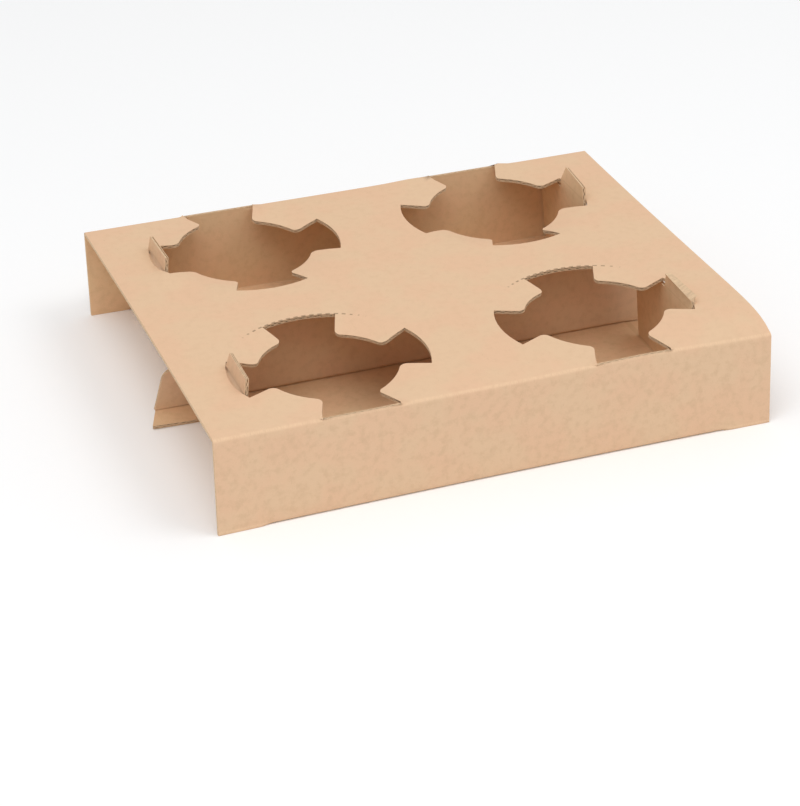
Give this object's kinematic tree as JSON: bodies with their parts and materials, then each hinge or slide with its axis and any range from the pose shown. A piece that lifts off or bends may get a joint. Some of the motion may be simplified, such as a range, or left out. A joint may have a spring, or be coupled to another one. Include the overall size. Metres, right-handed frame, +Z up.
{
  "type": "cardboard cup carrier",
  "caption": "Folded kraft board drink carrier: a low open-ended sleeve with petal-edged cup openings, end flaps with lock tabs and a centre partition.",
  "frame": {"origin": "middle of the base, on the surface that the carrier stands on", "axes": "+X along the sleeve between its open ends, +Y from the front wall to the back wall, +Z up through the cup openings"},
  "size_m": [0.242, 0.196, 0.0482],
  "materials": {
    "kraft_board": "uncoated brown kraft liner, matte, with fluted cut edges"
  },
  "bodies": {
    "root": {"cup_carrier": "kraft_board"}
  },
  "joints": []
}
